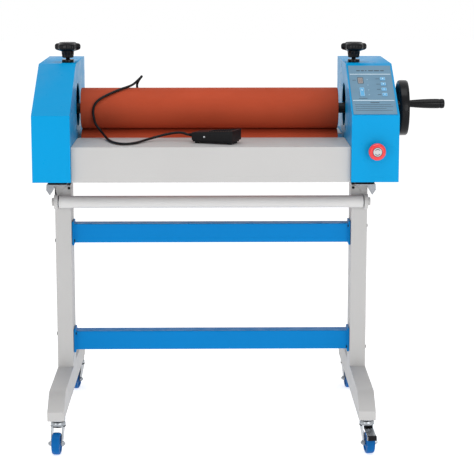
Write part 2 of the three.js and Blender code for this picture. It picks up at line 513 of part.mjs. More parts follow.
// ---------------------------------------------------------------- the pedal's cord
// From the gland along the bed, up the front of the upper roller, round a small loop on its crest,
// down its back and onto the rear bed, where the rest of the lead is coiled beside its plug.
const leadOut = (x) => new THREE.Vector3(x, CORD_EXIT.y, CORD_EXIT.z)
  .applyAxisAngle(new THREE.Vector3(0, 0, 1), THREE.MathUtils.degToRad(PEDAL.turn))
  .add(new THREE.Vector3(PEDAL.x, PEDAL.y, BED.top));
const COIL = { x: -120, y: 132, turnRadius: 33, half: 9 };
const FLOOR = BED.top + CORD_RADIUS + 3 * GAP;
const ROUTE = [
  [-69, -109, 736.4], [-86, -109, 736.4], [-103, -109, 733.5], [-123, -110.5, 729], [-144, -119, 724],
  [-159, -140, 721.8], [-170, -164, FLOOR], [-180, -184, FLOOR], [-190, -197, FLOOR], [-201, -202, FLOOR],
  [-213, -197, FLOOR], [-226, -178, FLOOR], [-239, -144, FLOOR], [-250, -102, 722], [-260, -75, 729.5],
  [-271, -58, 740], [-280, -53.5, 752], [-284, -54, 767], [-285.3, -54, 783.5], [-282, -52.8, 797.5],
  [-273, -48.8, 808.5], [-261, -44.5, 816.3], [-247, -39, 823], [-231, -31.5, 829.5], [-216, -23, 834.8],
  [-202, -14, 838.8], [-190.5, -8, 843.7], [-182.6, -3, 849.8], [-175.6, 1, 856.3], [-170.7, 6, 860.6],
  [-170.2, 12, 861.8], [-172.9, 17, 858], [-178, 20, 850.4], [-181.7, 24, 842], [-182, 31, 832.5],
  [-178, 43, 820.5], [-171, 53, 803], [-165, 56.5, 782], [-160.5, 58, 760], [-158, 60.5, 741],
  [-156.5, 66, 730], [-156.4, 78, 722.5], [-158, 94, FLOOR], [-162, 109, FLOOR], [-166, 124, FLOOR],
].map(([x, y, z]) => new THREE.Vector3(x, y, z));
ROUTE.unshift(leadOut(-72.3), leadOut(-77.5));

function cordTube(points, steps, sides) {
  const circle = new THREE.Shape();
  for (let i = 0; i < sides; i++) {
    const angle = (i / sides) * 2 * Math.PI;
    const at = [CORD_RADIUS * Math.cos(angle), CORD_RADIUS * Math.sin(angle)];
    if (i === 0) circle.moveTo(...at);
    else circle.lineTo(...at);
  }
  return new THREE.ExtrudeGeometry(circle, { steps, bevelEnabled: false,
    extrudePath: new THREE.CatmullRomCurve3(points, false, "centripetal") });
}
add("pedal_cord", cordTube(ROUTE, 84, 8), BLACK);

const coilRing = ring(COIL.turnRadius - COIL.half, COIL.turnRadius + COIL.half,
  BED.top + GAP, BED.top + GAP + 4 * CORD_RADIUS);
add("pedal_cord_coil", turned(coilRing, 32).translate(COIL.x, COIL.y, 0), BLACK);
const plugProfile = [[0, 0], [3.4, 0], [5.5, 14], [6.5, 15], [6.5, 38], [3.1, 38.5], [3.1, 55], [0, 56]];
add("pedal_plug", turnedX(plugProfile, 16).translate(COIL.x + 3, COIL.y + COIL.turnRadius + COIL.half + 8,
  BED.top + 6.5 + GAP), BLACK);

// ---------------------------------------------------------------- centred on the floor
const CENTRE = [82.5, -3.195];
laminator.position.set(-CENTRE[0], -CENTRE[1], 0);
export default laminator;
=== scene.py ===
"""Looks for the cold roll laminator: finer pieces, materials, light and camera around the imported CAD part."""
import json
import math

import bmesh
import bpy
from mathutils import Matrix, Vector


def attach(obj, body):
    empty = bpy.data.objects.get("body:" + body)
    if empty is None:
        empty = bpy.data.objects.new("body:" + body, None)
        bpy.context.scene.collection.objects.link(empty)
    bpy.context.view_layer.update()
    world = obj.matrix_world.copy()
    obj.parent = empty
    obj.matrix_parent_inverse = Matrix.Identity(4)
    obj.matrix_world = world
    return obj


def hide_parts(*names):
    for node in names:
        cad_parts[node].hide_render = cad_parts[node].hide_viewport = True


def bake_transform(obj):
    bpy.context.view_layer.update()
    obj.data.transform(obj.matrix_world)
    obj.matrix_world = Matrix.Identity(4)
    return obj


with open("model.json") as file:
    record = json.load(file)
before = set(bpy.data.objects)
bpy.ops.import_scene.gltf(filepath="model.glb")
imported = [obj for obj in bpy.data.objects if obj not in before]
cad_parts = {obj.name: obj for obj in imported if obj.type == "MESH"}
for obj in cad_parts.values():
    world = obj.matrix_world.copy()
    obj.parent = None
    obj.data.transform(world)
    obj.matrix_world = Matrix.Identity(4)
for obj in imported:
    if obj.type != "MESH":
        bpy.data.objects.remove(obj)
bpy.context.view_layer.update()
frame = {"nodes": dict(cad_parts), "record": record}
NODES = frame["nodes"]
SHIFT = (82.5, -3.195)           # the part's own centring shift, millimetres
UPPER_AXIS, LOWER_AXIS = 785.0, 684.7      # heights of the two rollers' axes
KNOB_X = 349                     # pressure screws, left and right of the middle
CASING_FRONT, CASING_BEND = -249, 791.5    # front face, and where its slope begins
CASING_TOP, SLOPE_BACK = 897, -51          # the slope's upper edge
CASING_REAR = 222
OUTER_LEFT, OUTER_RIGHT = 415.0, 436.5
COLUMN_OUTER = 385
BAR_Y, BAR_Z = -46, 559.5        # media bar's axis


def at(x, y, z):
    """A point of the machine's own frame, in millimetres, as a point of the row frame in metres."""
    return Vector(((x - SHIFT[0]) / 1000, (y - SHIFT[1]) / 1000, z / 1000))


# ------------------------------------------------------------------ materials
def material(name, color, rough, metallic=0.0, coat=0.0, coat_rough=0.1, specular=0.5, tint=0.06, tint_scale=6,
             grain=0.1, grain_scale=900, grain_depth=0.0002, rough_spread=0.08, rough_scale=40, streak=None):
    """A finish with its own mottling, roughness variation and surface grain. Colours are linear."""
    m = bpy.data.materials.new(name)
    m.use_nodes = True
    tree = m.node_tree
    tree.nodes.clear()
    out = tree.nodes.new("ShaderNodeOutputMaterial")
    shader = tree.nodes.new("ShaderNodeBsdfPrincipled")
    tree.links.new(shader.outputs["BSDF"], out.inputs["Surface"])
    shader.inputs["Metallic"].default_value = metallic
    shader.inputs["Coat Weight"].default_value = coat
    shader.inputs["Coat Roughness"].default_value = coat_rough
    shader.inputs["Specular IOR Level"].default_value = specular
    where = tree.nodes.new("ShaderNodeTexCoord")
    stretch = tree.nodes.new("ShaderNodeMapping")
    stretch.inputs["Scale"].default_value = streak or (1, 1, 1)
    tree.links.new(where.outputs["Object"], stretch.inputs["Vector"])

    def noise(scale, detail):
        n = tree.nodes.new("ShaderNodeTexNoise")
        n.inputs["Scale"].default_value = scale
        n.inputs["Detail"].default_value = detail
        tree.links.new(stretch.outputs["Vector"], n.inputs["Vector"])
        return n

    ramp = tree.nodes.new("ShaderNodeValToRGB")
    ramp.color_ramp.elements[0].position = 0.3
    ramp.color_ramp.elements[1].position = 0.7
    ramp.color_ramp.elements[0].color = [c * (1 - tint) for c in color] + [1]
    ramp.color_ramp.elements[1].color = [min(1, c * (1 + tint)) for c in color] + [1]
    tree.links.new(noise(tint_scale, 4).outputs["Fac"], ramp.inputs["Fac"])
    tree.links.new(ramp.outputs["Color"], shader.inputs["Base Color"])
    spread = tree.nodes.new("ShaderNodeMapRange")
    spread.inputs["From Min"].default_value = 0.3
    spread.inputs["From Max"].default_value = 0.7
    spread.inputs["To Min"].default_value = max(0.02, rough - rough_spread)
    spread.inputs["To Max"].default_value = min(1, rough + rough_spread)
    tree.links.new(noise(rough_scale, 3).outputs["Fac"], spread.inputs["Value"])
    tree.links.new(spread.outputs["Result"], shader.inputs["Roughness"])
    bump = tree.nodes.new("ShaderNodeBump")
    bump.inputs["Strength"].default_value = grain
    bump.inputs["Distance"].default_value = grain_depth
    tree.links.new(noise(grain_scale, 2).outputs["Fac"], bump.inputs["Height"])
    tree.links.new(bump.outputs["Normal"], shader.inputs["Normal"])
    return m


CASING = material("casing_blue", (0.0, 0.29, 0.61), 0.34, specular=0.09, tint=0.015, grain=0.03, grain_scale=260)
CROSSBAR = material("crossbar_blue", (0.0, 0.20, 0.54), 0.42, specular=0.08, tint=0.02, grain=0.03,
                    grain_scale=260)
GREY = material("stand_grey", (0.485, 0.48, 0.475), 0.5, specular=0.25, tint=0.015, grain=0.04, grain_scale=260)
# The media bar's grey is partly its own slightly paler finish and partly painted light, lifted to offset the shade it
# sits in under the casings and bed.
PALE_GREY_PAINTED_LIGHT = material("media_bar_grey", (0.58, 0.575, 0.57), 0.45, specular=0.3, tint=0.015, grain=0.04,
                     grain_scale=260)
STEEL = material("frame_steel", (0.27, 0.28, 0.30), 0.4, metallic=1, tint=0.12, streak=(1, 1, 14), tint_scale=60,
                 grain=0.15)
BRIGHT = material("roller_steel", (0.40, 0.41, 0.43), 0.26, metallic=1, tint=0.08, streak=(1, 9, 9),
                  tint_scale=50, grain=0.1)
ZINC = material("zinc", (0.33, 0.35, 0.37), 0.24, metallic=1, tint=0.16, tint_scale=90, grain=0.12,
                grain_scale=500)
SILICONE = material("silicone", (0.42, 0.062, 0.024), 0.6, tint=0.05, tint_scale=9, specular=0.1, grain=0.3,
                    grain_scale=1300, grain_depth=0.0003, rough_spread=0.06)
WHEEL = material("wheel_blue", (0.0, 0.10, 0.33), 0.45, tint=0.08, tint_scale=30, specular=0.1, grain=0.1)
BLACK = material("black_plastic", (0.005, 0.005, 0.006), 0.42, tint=0.15, tint_scale=40, specular=0.12,
                 grain=0.25, grain_scale=1500, grain_depth=0.0003)
SATIN = material("satin_black", (0.004, 0.004, 0.005), 0.22, specular=0.16, tint=0.12, tint_scale=30, grain=0.06,
                 grain_scale=700)
BLACKED = material("blackened_steel", (0.03, 0.03, 0.032), 0.45, metallic=1, tint=0.1, tint_scale=50, grain=0.1)
MOTOR = material("motor_black", (0.02, 0.02, 0.023), 0.5, tint=0.2, grain=0.5, grain_scale=500)
RUBBER = material("pad_rubber", (0.008, 0.008, 0.009), 0.75, specular=0.12, tint=0.2, tint_scale=30, grain=0.4,
                  grain_scale=700, grain_depth=0.0004)
CORD = material("cord_pvc", (0.007, 0.007, 0.008), 0.42, specular=0.12, tint=0.15, tint_scale=60, grain=0.1)
RED = material("estop_red", (0.72, 0.020, 0.024), 0.26, coat=0.3, coat_rough=0.08, tint=0.04, grain=0.03)
FILM = material("panel_film", (0.138, 0.254, 0.356), 0.5, specular=0.2, tint=0.04, tint_scale=25, grain=0.1,
                grain_scale=1600)
KEY = material("key_film", (0.10, 0.38, 0.66), 0.4, specular=0.3, tint=0.06, tint_scale=60, grain=0.06)
KEY_EDGE = material("key_edge", (0.34, 0.52, 0.66), 0.4, specular=0.3, tint=0.03, tint_scale=40)
WHITE_INK = material("ink_white", (0.66, 0.80, 0.88), 0.4, tint=0.03, tint_scale=40)
DARK_INK = material("ink_dark", (0.035, 0.07, 0.10), 0.4, tint=0.1, tint_scale=60)
DISPLAY = material("display_window", (0.26, 0.25, 0.25), 0.3, specular=0.3, tint=0.05)
GLOW = material("display_digit", (0.16, 0.11, 0.11), 0.4, tint=0.05)
PALE = material("estop_centre", (0.50, 0.50, 0.50), 0.35, tint=0.05, tint_scale=60)


# ------------------------------------------------------------------ mesh helpers
def made(name, verts, faces, mat, body, smooth=32):
    """A mesh piece from points in the row frame that rides on a CAD body."""
    mesh = bpy.data.meshes.new(name)
    mesh.from_pydata([tuple(v) for v in verts], [], faces)
    tidy = bmesh.new()
    tidy.from_mesh(mesh)
    bmesh.ops.recalc_face_normals(tidy, faces=tidy.faces)
    tidy.to_mesh(mesh)
    tidy.free()
    for polygon in mesh.polygons:
        polygon.use_smooth = True
    mesh.set_sharp_from_angle(angle=math.radians(smooth))
    obj = bpy.data.objects.new(name, mesh)
    bpy.context.scene.collection.objects.link(obj)
    mesh.materials.append(mat)
    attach(obj, body)
    return obj


def frame_of(axis, up=None):
    """A rotation whose third column is axis."""
    w = Vector(axis).normalized()
    u = Vector(up or ((0, 0, 1) if abs(w.z) < 0.9 else (1, 0, 0))).cross(w).normalized()
    return Matrix((u, w.cross(u), w)).transposed()


def lathe(name, profile, origin, axis, mat, body, sides=64, ripple=None, smooth=32):
    """A turned piece: profile of (radius, height) in mm from a row-frame origin along axis."""
    turn = frame_of(axis)
    verts, faces, rings = [], [], []
    for r, h in profile:
        ring = []
        for i in range(1 if r < 1e-6 else sides):
            angle = 2 * math.pi * i / sides
            radius = r if ripple is None else r + ripple(angle, r, h)
            local = Vector((radius * math.cos(angle), radius * math.sin(angle), h)) / 1000
            ring.append(len(verts))
            verts.append(Vector(origin) + turn @ local)
        rings.append(ring)
    pairs = list(zip(rings, rings[1:]))
    if profile[0][0] > 1e-6:
        pairs.append((rings[-1], rings[0]))
    for a, b in pairs:
        for i in range(sides):
            j = (i + 1) % sides
            quad = [a[i % len(a)], a[j % len(a)], b[j % len(b)], b[i % len(b)]]
            quad = [v for k, v in enumerate(quad) if v not in quad[:k]]
            if len(quad) > 2:
                faces.append(quad)
    return made(name, verts, faces, mat, body, smooth)


def slab(name, outline, origin, turn, h0, h1, mat, body, edge=0.0, segments=2):
    """An outline of (u, v) mm in the plane of turn's first two columns, thick from h0 to h1 along its third."""
    n = len(outline)
    verts = [Vector(origin) + turn @ (Vector((u, v, h)) / 1000) for h in (h0, h1) for u, v in outline]
    faces = [list(range(n - 1, -1, -1)), list(range(n, 2 * n))]
    faces += [[i, (i + 1) % n, n + (i + 1) % n, n + i] for i in range(n)]
    obj = made(name, verts, faces, mat, body)
    if edge:
        soften(obj, edge, segments)
    return obj


def soften(obj, width_mm, segments=3, weld=False):
    """Rounded edges and even shading on a piece or a CAD node."""
    if weld:
        w = obj.modifiers.new("weld", "WELD")
        w.merge_threshold = 1e-5
        flat = obj.modifiers.new("flat", "DECIMATE")
        flat.decimate_type = "DISSOLVE"
        flat.angle_limit = math.radians(0.5)
    b = obj.modifiers.new("edges", "BEVEL")
    b.width = width_mm / 1000
    b.segments = segments
    b.limit_method = "ANGLE"
    b.angle_limit = math.radians(32)
    b.use_clamp_overlap = True
    shading = obj.modifiers.new("shading", "WEIGHTED_NORMAL")
    shading.weight = 100
    return obj


def rounded(w, h, r, steps=5):
    """A rounded rectangle about (0, 0)."""
    points = []
    for cx, cy, start in ((w / 2 - r, h / 2 - r, 0), (-w / 2 + r, h / 2 - r, 90), (-w / 2 + r, -h / 2 + r, 180),
                          (w / 2 - r, -h / 2 + r, 270)):
        for i in range(steps + 1):
            a = math.radians(start + 90 * i / steps)
            points.append((cx + r * math.cos(a), cy + r * math.sin(a)))
    return points


def shifted(points, du, dv):
    return [(u + du, v + dv) for u, v in points]


def smooth_path(points, per=10):
    """Points on a centripetal Catmull-Rom curve through the given ones."""
    pts = [2 * points[0] - points[1]] + points + [2 * points[-1] - points[-2]]
    path = []
    for k in range(1, len(pts) - 2):
        p = pts[k - 1:k + 3]
        t = [0.0]
        for a, b in zip(p, p[1:]):
            t.append(t[-1] + max((b - a).length, 1e-9) ** 0.5)
        for i in range(per):
            x = t[1] + (t[2] - t[1]) * i / per
            a = [((t[j + 1] - x) * p[j] + (x - t[j]) * p[j + 1]) / (t[j + 1] - t[j]) for j in range(3)]
            b = [((t[j + 2] - x) * a[j] + (x - t[j]) * a[j + 1]) / (t[j + 2] - t[j]) for j in range(2)]
            path.append(((t[2] - x) * b[0] + (x - t[1]) * b[1]) / (t[2] - t[1]))
    return path + [points[-1]]


def tube(name, path, radius, mat, body, sides=12):
    """A round tube along row-frame points, closed at both ends."""
    verts, faces = [], []
    side = None
    for i, p in enumerate(path):
        ahead = (path[min(i + 1, len(path) - 1)] - path[max(i - 1, 0)]).normalized()
        side = (Vector((0, 0, 1)) if abs(ahead.z) < 0.9 else Vector((1, 0, 0))) if side is None else side
        side = (side - ahead * side.dot(ahead)).normalized()
        other = ahead.cross(side)
        for k in range(sides):
            a = 2 * math.pi * k / sides
            verts.append(p + (side * math.cos(a) + other * math.sin(a)) * radius)
    for i in range(len(path) - 1):
        for k in range(sides):
            n = (k + 1) % sides
            faces.append([i * sides + k, i * sides + n, (i + 1) * sides + n, (i + 1) * sides + k])
    faces.append(list(range(sides - 1, -1, -1)))
    faces.append([(len(path) - 1) * sides + k for k in range(sides)])
    obj = bpy.data.objects.new(name, bpy.data.meshes.new(name))
    obj.data.from_pydata([tuple(v) for v in verts], [], faces)
    for polygon in obj.data.polygons:
        polygon.use_smooth = True
    obj.data.set_sharp_from_angle(angle=math.radians(60))
    obj.data.materials.append(mat)
    bpy.context.scene.collection.objects.link(obj)
    if body:
        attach(obj, body)
    return obj


# ------------------------------------------------------------------ camera
camera = bpy.data.objects.new("camera", bpy.data.cameras.new("camera"))
bpy.context.scene.collection.objects.link(camera)
camera.location = at(6.1, -4073, 1190)
camera.rotation_euler = (math.radians(90 - 10.12), 0, -math.radians(0.81))
camera.data.sensor_width = 36
camera.data.lens = 126.2
camera.data.clip_end = 60
bpy.context.scene.camera = camera

# ------------------------------------------------------------------ the pedal's cord
BED = 717.0
PEDAL = {"x": 11.8, "y": -152.5, "turn": -23.0}
CORD_R = 3.0
FLOOR = BED + CORD_R + 0.9
PEDAL_TURN = Matrix.Rotation(math.radians(PEDAL["turn"]), 3, "Z")


def on_pedal(x, y, z):
    """A point of the pedal's own frame, in millimetres."""
    local = PEDAL_TURN @ Vector((x, y, z))
    return at(PEDAL["x"] + local.x, PEDAL["y"] + local.y, BED + local.z)


route = [on_pedal(-72.3, 10, 15.5), on_pedal(-77.5, 10, 15.5)] + [at(*p) for p in (
    (-69, -109, 736.4), (-86, -109, 736.4), (-103, -109, 733.5), (-123, -110.5, 729), (-144, -119, 724),
    (-159, -140, 721.8), (-170, -164, FLOOR), (-180, -184, FLOOR), (-190, -197, FLOOR), (-201, -202, FLOOR),
    (-213, -197, FLOOR), (-226, -178, FLOOR), (-239, -144, FLOOR), (-250, -102, 722), (-260, -75, 729.5),
    (-271, -58, 740), (-280, -53.5, 752), (-284, -54, 767), (-285.3, -54, 783.5), (-282, -52.8, 797.5),
    (-273, -48.8, 808.5), (-261, -44.5, 816.3), (-247, -39, 823), (-231, -31.5, 829.5), (-216, -23, 834.8),
    (-202, -14, 838.8), (-190.5, -8, 843.7), (-182.6, -3, 849.8), (-175.6, 1, 856.3), (-170.7, 6, 860.6),
    (-170.2, 12, 861.8), (-172.9, 17, 858), (-178, 20, 850.4), (-181.7, 24, 842), (-182, 31, 832.5),
    (-178, 43, 820.5), (-171, 53, 803), (-165, 56.5, 782), (-160.5, 58, 760), (-158, 60.5, 741),
    (-156.5, 66, 730), (-156.4, 78, 722.5), (-158, 94, FLOOR), (-162, 109, FLOOR), (-166, 124, FLOOR))]

COIL = (-120.0, 132.0)


def coil_point(turns):
    """The coil runs inward on the bed, hops up a layer and runs outward again, clockwise from the west side."""
    if turns < 0.25:
        radius = 46 - 28 * turns
    elif turns < 2.25:
        radius = 39 - 6 * (turns - 0.25)
    else:
        radius = 27 + 6 * max(0.0, turns - 2.6)
    rise = min(1.0, max(0.0, (turns - 2.15) / 0.45))
    height = FLOOR + 2 * CORD_R * rise * rise * (3 - 2 * rise)
    angle = math.radians(185) - 2 * math.pi * turns
    return at(COIL[0] + radius * math.cos(angle), COIL[1] + radius * math.sin(angle), height)


LAST = 5.1
coil = [coil_point(0.03 + (LAST - 0.03) * k / 92) for k in range(93)]
tail = [at(-140, 172, 728), at(-130, 179.5, 725), at(-123, 181.9, 723.9), at(-116.7, 182, 723.8)]
cord_path = smooth_path(route + coil + tail, per=5)
cord = tube("foot_pedal_cord", cord_path, CORD_R / 1000, CORD, None, sides=12)
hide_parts("pedal_cord", "pedal_cord_coil")
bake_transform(cord)
PLUG_AT = at(-117, 182, 723.8)
plug = lathe("foot_pedal_plug", [(0, 0.2), (3.6, 0.2), (4.2, 2), (3.8, 3), (4.6, 5), (4.2, 6), (5.1, 8), (4.7, 9),
                                 (5.6, 11), (5.2, 12), (6.1, 14), (6.5, 15), (6.5, 36), (6.1, 38), (3.2, 38.2),
                                 (3.2, 38.5), (0, 38.5)], PLUG_AT, (1, 0, 0), BLACK, "machine", 40)
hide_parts("pedal_plug")
tip = lathe("foot_pedal_plug_tip", [(0, 38.4), (3.1, 38.4), (3.1, 46), (2.9, 46.1), (2.9, 46.9), (3.1, 47), (3.1, 50),
                                    (2.3, 51.4), (2.9, 53.2), (2.2, 55), (0, 56)], PLUG_AT, (1, 0, 0), BRIGHT,
            "machine", sides=32)

# ------------------------------------------------------------------ foot pedal
gland = lathe("pedal_strain_relief", [(0, 44), (5.3, 44), (5.3, 50.5), (4.9, 52), (5.1, 53.5), (4.7, 55), (4.9, 57),
                                      (4.5, 58.5), (4.7, 60.5), (4.3, 62), (4.5, 64), (4.1, 65.5), (4.3, 67.5),
                                      (3.9, 69), (3.9, 72.2), (0, 72.2)], on_pedal(0, 10, 15.5),
              PEDAL_TURN @ Vector((-1, 0, 0)), RUBBER, "machine", 32)
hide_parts("pedal_gland")
PEDAL_X = PEDAL_TURN @ Vector((1, 0, 0))
PEDAL_Y = PEDAL_TURN @ Vector((0, 1, 0))
PEDAL_Z = Vector((0, 0, 1))
slope_up = math.atan2(7, 104)
tread_axis = (PEDAL_X * math.cos(slope_up) + PEDAL_Z * math.sin(slope_up)).normalized()
tread_turn = Matrix((tread_axis, PEDAL_Y, tread_axis.cross(PEDAL_Y))).transposed()
for i in range(9):
    x = -8 + 6.4 * i
    slab(f"pedal_rib_{i}", rounded(2.2, 44, 1.0), on_pedal(x, 0, 26 + (x + 51) * 7 / 104), tread_turn, -0.2, 0.9,
         RUBBER, "treadle", edge=0.3)
for side in (-1, 1):
    lathe(f"pedal_pin_{'front' if side < 0 else 'back'}", [(0, 27.6), (2.3, 27.6), (2.3, 28.3), (1.5, 29), (0, 29.2)],
          on_pedal(-19, 0, 16), PEDAL_Y * side, BRIGHT, "treadle", sides=28)

# ------------------------------------------------------------------ rollers
for which, body, z in (("top", "top_roller", UPPER_AXIS), ("lower", "lower_roller", LOWER_AXIS)):
    covering = lathe(f"{which}_silicone", [(42.3, -317), (48.4, -317), (49.6, -316.4), (50, -315.2), (50, -160),
                                           (50, 0), (50, 160), (50, 308.2), (49.6, 309.4), (48.4, 310), (42.3, 310)],
                     at(0, 0, z), (1, 0, 0), SILICONE, body, sides=144)
    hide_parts(f"{which}_roller_sleeve")

# ------------------------------------------------------------------ handwheel and its grip
wheel = lathe("handwheel_casting", [
    (0, 452), (14.5, 452), (16.3, 453.4), (17.5, 458), (18.5, 465.6), (22, 467.6), (50, 467.4), (55, 465.2),
    (58.6, 460.4), (61, 458.1), (63.5, 457.5), (66, 458.4), (67.4, 460.9), (68, 464.6), (68, 475.5), (67.4, 478.8),
    (65.4, 481.2), (62, 482), (58.6, 481.6), (55.8, 479.4), (52, 477), (46, 476.2), (26, 476.4), (19, 478.4),
    (16, 480), (9, 480.4), (0, 480.4)], at(0, 0, UPPER_AXIS), (1, 0, 0), SATIN, "top_roller", 128)
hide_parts("handwheel")
CRANK_RADIUS, CRANK_ANGLE = 46.5, 0.12
CRANK = (CRANK_RADIUS * math.cos(CRANK_ANGLE), UPPER_AXIS + CRANK_RADIUS * math.sin(CRANK_ANGLE))
lathe("handwheel_boss", [(0, 474), (10.5, 474), (9.4, 478), (8.8, 482.6), (4, 483), (0, 483)], at(0, *CRANK),
      (1, 0, 0), SATIN, "top_roller", 48)
lathe("handwheel_axle_cap", [(0, 480), (8, 480), (8, 481.2), (6.6, 482.4), (0, 482.6)], at(0, 0, UPPER_AXIS),
      (1, 0, 0), BRIGHT, "top_roller", sides=40)
grip = lathe("crank_handle", [
    (0, 483.3), (7.3, 483.3), (8.2, 484.4), (8.4, 488), (8.9, 495), (10.1, 509), (11.3, 527), (11.9, 545),
    (12, 560), (11.9, 566), (11.2, 567), (11.2, 568.6), (11.9, 569.6), (12, 574), (11.4, 577.6), (9.4, 579.6),
    (6, 580.2), (0, 580.2)], at(0, *CRANK), (1, 0, 0), SATIN, "crank_grip", 64)
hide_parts("handle_grip")

# ------------------------------------------------------------------ pressure knobs
for side, name in ((-1, "left"), (1, "right")):
    foot = at(side * KNOB_X, 0, 0)
    star = lathe(f"knob_star_{name}", [
        (0, 924.6), (17, 924.6), (21, 925.8), (25.6, 927.6), (28, 930.2), (28.5, 934), (28.4, 938.6), (27.2, 941.8),
        (24.6, 943.6), (21, 944.2), (20.2, 945.4), (18.6, 946.2), (0, 946.6)], foot, (0, 0, 1), SATIN,
        f"{name}_knob", 120,
        ripple=lambda a, r, h: -2.9 * (r / 28) ** 3 * math.cos(6 * a) if r > 22 else 0)
    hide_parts(f"pressure_knob_{name}")
    lathe(f"knob_neck_{name}", [(0, 908.6), (11.6, 908.6), (12.8, 909.8), (13.3, 914), (14.2, 919.4), (15.2, 921.4),
                                (15.8, 925), (0, 925.4)], foot, (0, 0, 1), SATIN, f"{name}_knob",
          96, ripple=lambda a, r, h: 0.9 * math.cos(12 * a) if r > 8 and h < 921 else 0)
    turns = [(5.0 + 0.35 * (k % 2), 840 + k) for k in range(0, 72)]
    lathe(f"knob_screw_{name}", [(0, 820), (5.2, 820), (5.2, 838), *turns, (0, 912)], foot, (0, 0, 1), BLACK,
          f"{name}_knob", 32)

# ------------------------------------------------------------------ emergency stop
ESTOP = at(383.6, CASING_FRONT, 709.8)
head = lathe("stop_mushroom", [
    (0, 12.6), (8.4, 12.6), (8.8, 16.2), (17.2, 16.8), (19.3, 18.2), (20, 20.6), (19.8, 23.4), (18.6, 26),
    (16.2, 28.2), (13.4, 29.4), (11.9, 29.6), (11.3, 29.1), (0, 29.1)], ESTOP, (0, -1, 0), RED, "stop_head",
    96)
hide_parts("estop_head")
lathe("stop_rim", [(0, 28.9), (11, 28.9), (11, 29.6), (10.6, 29.8), (0, 29.8)], ESTOP, (0, -1, 0), DARK_INK,
      "stop_head", sides=64)
lathe("stop_centre", [(0, 29), (9.8, 29), (9.8, 29.9), (9.2, 30.1), (0, 30.2)], ESTOP, (0, -1, 0), PALE,
      "stop_head", sides=64)
for k in range(2):
    arc = [(radius * math.cos(a), radius * math.sin(a))
           for radius, turns in ((7.6, range(13)), (5.8, range(12, -1, -1)))
           for a in (math.radians(180 * k + 36 + 9 * i) for i in turns)]
    slab(f"stop_arrow_{k}", arc, ESTOP, frame_of((0, -1, 0)), 30.12, 30.28, DARK_INK, "stop_head")

# ------------------------------------------------------------------ castors
CASTORS = (("front_left", -362.5, -283, 176), ("front_right", 367, -283, 188), ("rear_left", -362.5, 305, 168),
           ("rear_right", 367, 305, 186))
for name, x, y, heading in CASTORS:
    a = math.radians(heading)
    axle = at(x - 25 * math.sin(a), y + 25 * math.cos(a), 26)
    across = Vector((math.cos(a), math.sin(a), 0))
    half = [(3.5, 9), (7.4, 9.6), (8.6, 8.8), (9.6, 6.9), (17.6, 6.9), (18.6, 8.2), (19.6, 9.5), (22.8, 9.6),
            (24.8, 8.4), (25.8, 6), (26, 3)]
    tyre = lathe(f"castor_tread_{name}", [(r, -h) for r, h in half] + [(r, h) for r, h in reversed(half)], axle,
                 across, WHEEL, f"wheel_{name}", 72)
    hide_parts(f"caster_wheel_{name}")
    swivel = at(x, y, 0)
    # A dark band under the swivel race: partly the race's lower edge, partly painted shade below the race.
    lathe(f"castor_ring_{name}", [(12, 61.4), (17.4, 61.4), (18, 62.2), (17.6, 64), (12, 64)], swivel, (0, 0, 1),
          RUBBER, f"fork_{name}", 64)
    lathe(f"castor_race_{name}", [(9, 64), (17.2, 64), (17.8, 66), (17.6, 70.5), (16, 73.2), (9, 74)], swivel,
          (0, 0, 1), ZINC, f"fork_{name}", 64)
    lathe(f"castor_seat_{name}", [(8, 75.4), (16.6, 75.4), (17.2, 76.4), (17.2, 80), (8, 80.9)], swivel, (0, 0, 1),
          ZINC, "machine", 64)
    for s in (-1, 1):
        lathe(f"castor_nut_{name}_{'in' if s < 0 else 'out'}", [(0, 14), (5.6, 14), (5.6, 17), (4.4, 18), (3.1, 18),
                                                              (3.1, 20), (0, 20.4)], axle, across * s, ZINC,
              f"fork_{name}", 6 if s > 0 else 24)
    if name in ("front_right", "rear_left"):
        pad_turn = Matrix((across, Vector((-math.sin(a), math.cos(a), 0)), Vector((0, 0, 1)))).transposed()
        slab(f"castor_brake_pad_{name}", shifted(rounded(22, 8, 2), 0, 54.8), swivel, pad_turn, 38.8, 49.9,
             BLACK, f"brake_{name}", edge=1.2)

# ------------------------------------------------------------------ bolts and small hardware
def pan_head(name, point, axis, radius, height, mat=BLACK, body="machine"):
    lathe(name, [(0, -0.5), (radius, -0.5), (radius, height * 0.35), (radius * 0.86, height * 0.78),
                 (radius * 0.5, height), (0.62 * radius * 0.5, height), (0.5 * radius * 0.5, height * 0.45),
                 (0, height * 0.45)], point, axis, mat, body, sides=32)


